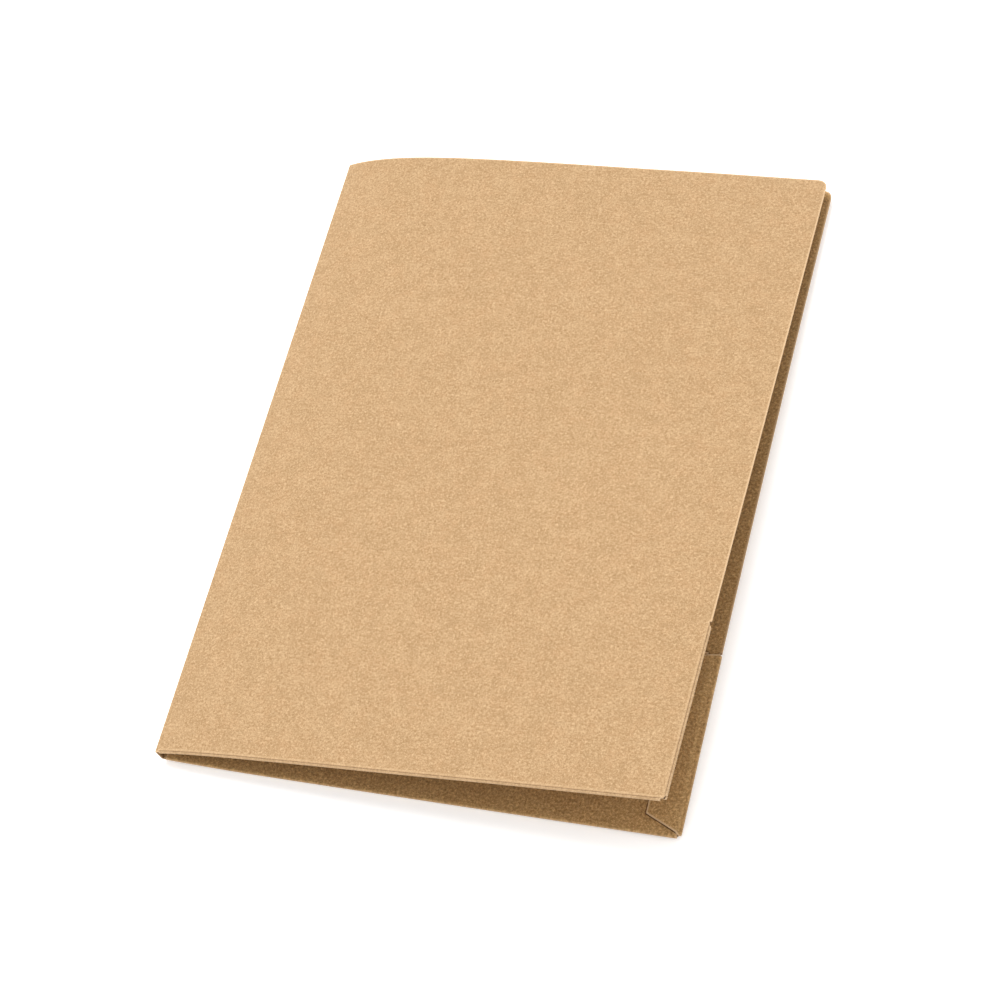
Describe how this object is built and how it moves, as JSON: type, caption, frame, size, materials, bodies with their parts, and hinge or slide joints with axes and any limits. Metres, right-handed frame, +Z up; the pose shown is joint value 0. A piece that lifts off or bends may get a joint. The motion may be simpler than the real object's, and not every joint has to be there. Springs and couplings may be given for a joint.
{
  "type": "document folder",
  "caption": "Kraft card document folder for A4 sheets: two covers on a narrow creased spine, each with a turned-up inside pocket closed by a glued side tab.",
  "frame": {"origin": "on the table plane, under the middle of the folder's overall footprint", "axes": "+X from the spine to the fore edge, +Y from the foot (pocket end) to the head along the longest side, +Z up out of the table the back cover lies on"},
  "size_m": [0.221, 0.31, 0.0354],
  "materials": {
    "kraft_card": "matte uncoated brown kraft board",
    "kraft_fold": "matte uncoated brown kraft board, scored and creased",
    "adhesive": "thin dried glue film"
  },
  "bodies": {
    "back_cover": {"back_cover": "kraft_card", "back_bottom_fold": "kraft_fold", "back_side_fold": "kraft_fold", "back_pocket_flap": "kraft_card", "back_glue_strip": "adhesive", "back_side_tab": "kraft_card"},
    "spine": {"back_spine_crease": "kraft_fold", "spine_panel": "kraft_card", "front_spine_crease": "kraft_fold"},
    "front_cover": {"front_cover": "kraft_card", "front_bottom_fold": "kraft_fold", "front_side_fold": "kraft_fold", "front_pocket_flap": "kraft_card", "front_glue_strip": "adhesive", "front_side_tab": "kraft_card"}
  },
  "joints": [
    {"name": "spine_hinge", "type": "hinge", "parent": "back_cover", "child": "spine", "pos_m": [-0.1092, 0, 0.0022], "axis": [0, -1, 0], "range_deg": [0, 79.8]},
    {"name": "cover_hinge", "type": "hinge", "parent": "spine", "child": "front_cover", "pos_m": [-0.11026, 0, 0.0081], "axis": [0, -1, 0], "range_deg": [-1.2, 93.5]}
  ]
}
